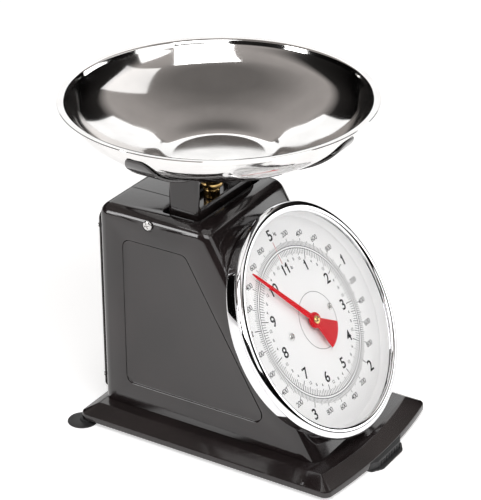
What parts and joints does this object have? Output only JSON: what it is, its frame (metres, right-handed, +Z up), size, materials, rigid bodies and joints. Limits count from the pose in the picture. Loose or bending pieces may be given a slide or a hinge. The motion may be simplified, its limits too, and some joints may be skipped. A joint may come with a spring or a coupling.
{
  "type": "kitchen_scale",
  "caption": "Mechanical kitchen scale with a round sloping dial, a steel weighing dish on a sprung platform, and a brass zero knob",
  "frame": {"origin": "on the table under the middle of the scale's overall box", "axes": "+X to the right of someone who reads the dial, +Y from the dial towards the back of the casing, +Z up"},
  "size_m": [0.25, 0.2856, 0.2786],
  "materials": {
    "black_enamel": "gloss",
    "polished_steel": "polished",
    "chrome": "polished",
    "brass": "polished",
    "zinc_steel": "satin",
    "spring_steel": "satin",
    "dial_white": "satin",
    "pointer_red": "satin",
    "black_rubber": "matte",
    "white_plastic": "matte",
    "clear_lens": "polished"
  },
  "bodies": {
    "base": {"base_plate": "black_enamel", "bearing_bridge": "zinc_steel", "bezel_ring": "chrome", "casing_shell": "black_enamel", "casing_strap": "zinc_steel", "dial_drum": "chrome", "dial_lens": "clear_lens", "dial_pillar_left": "zinc_steel", "dial_pillar_right": "zinc_steel", "dial_plate": "dial_white", "dial_screw_left": "chrome", "dial_screw_right": "chrome", "frame": "zinc_steel", "frame_screw_1": "zinc_steel", "frame_screw_2": "zinc_steel", "front_bush": "brass", "front_foot": "black_rubber", "lens_spacer": "white_plastic", "lower_pivot_rod": "zinc_steel", "movement_plate": "zinc_steel", "rack_guide": "zinc_steel", "rear_bush": "brass", "rear_cover": "black_enamel", "rear_cover_screw_1": "zinc_steel", "rear_cover_screw_2": "zinc_steel", "rear_cover_screw_3": "zinc_steel", "rear_cover_screw_4": "zinc_steel", "rear_foot_left": "black_rubber", "rear_foot_right": "black_rubber", "side_screw_left": "chrome", "side_screw_right": "chrome", "spring_bar": "zinc_steel", "spring_left": "spring_steel", "spring_right": "spring_steel", "upper_pivot_rod": "zinc_steel"},
    "platform": {"column": "black_enamel", "knob_shelf": "black_enamel", "spider": "black_enamel", "spider_screw_1": "zinc_steel", "spider_screw_2": "zinc_steel", "drive_arm": "zinc_steel", "upper_column_pin_left": "zinc_steel", "upper_column_pin_right": "zinc_steel", "lower_column_pin_left": "zinc_steel", "lower_column_pin_right": "zinc_steel"},
    "dish": {"dish": "polished_steel"},
    "knob": {"zero_knob": "brass"},
    "adjuster": {"adjuster_rod": "brass", "spring_yoke": "zinc_steel"},
    "upper_links": {"upper_link_left": "zinc_steel", "upper_link_right": "zinc_steel"},
    "lower_links": {"lower_link_left": "zinc_steel", "lower_link_right": "zinc_steel"},
    "rack": {"rack": "brass"},
    "pointer": {"pointer": "pointer_red", "pointer_cap": "brass", "pointer_arbor": "zinc_steel", "drive_gear": "brass"}
  },
  "joints": [
    {"name": "platform_slide", "type": "slide", "parent": "base", "child": "platform", "axis": [0, 0, 1], "range_m": [-0.00147, 0.01305], "stiffness_N_per_m": 3377, "springref_m": 0.01605, "deforming": ["spring_left", "spring_right"]},
    {"name": "dish_lift", "type": "slide", "parent": "platform", "child": "dish", "axis": [0, 0, 1], "range_m": [0, 0.15]},
    {"name": "knob_turn", "type": "hinge", "parent": "platform", "child": "knob", "pos_m": [0, 0.02535, 0.1982], "axis": [0, 0, 1], "range_deg": [-729, 729]},
    {"name": "adjuster_slide", "type": "slide", "parent": "platform", "child": "adjuster", "axis": [0, 0, 1], "range_m": [-0.0016, 0.0016]},
    {"name": "upper_links_turn", "type": "hinge", "parent": "base", "child": "upper_links", "pos_m": [0, 0.07985, 0.16928], "axis": [1, 0, 0], "range_deg": [-14, 2]},
    {"name": "lower_links_turn", "type": "hinge", "parent": "base", "child": "lower_links", "pos_m": [0, 0.07985, 0.07128], "axis": [1, 0, 0], "range_deg": [-14, 2]},
    {"name": "rack_slide", "type": "slide", "parent": "base", "child": "rack", "axis": [0, 0.5015, 0.8652], "range_m": [-0.0013, 0.0114]},
    {"name": "pointer_turn", "type": "hinge", "parent": "base", "child": "pointer", "pos_m": [0, -0.07685, 0.1099], "axis": [0, -0.8652, 0.5015], "range_deg": [-36.6, 323.7]}
  ],
  "couplings": [
    {"joint": "knob_turn", "follows": "adjuster_slide", "rad_per_m": 7854},
    {"joint": "upper_links_turn", "follows": "platform_slide", "rad_per_m": -18.349},
    {"joint": "lower_links_turn", "follows": "platform_slide", "rad_per_m": -18.349},
    {"joint": "rack_slide", "follows": "platform_slide", "ratio": 0.86515},
    {"joint": "pointer_turn", "follows": "platform_slide", "rad_per_m": 432.58}
  ]
}
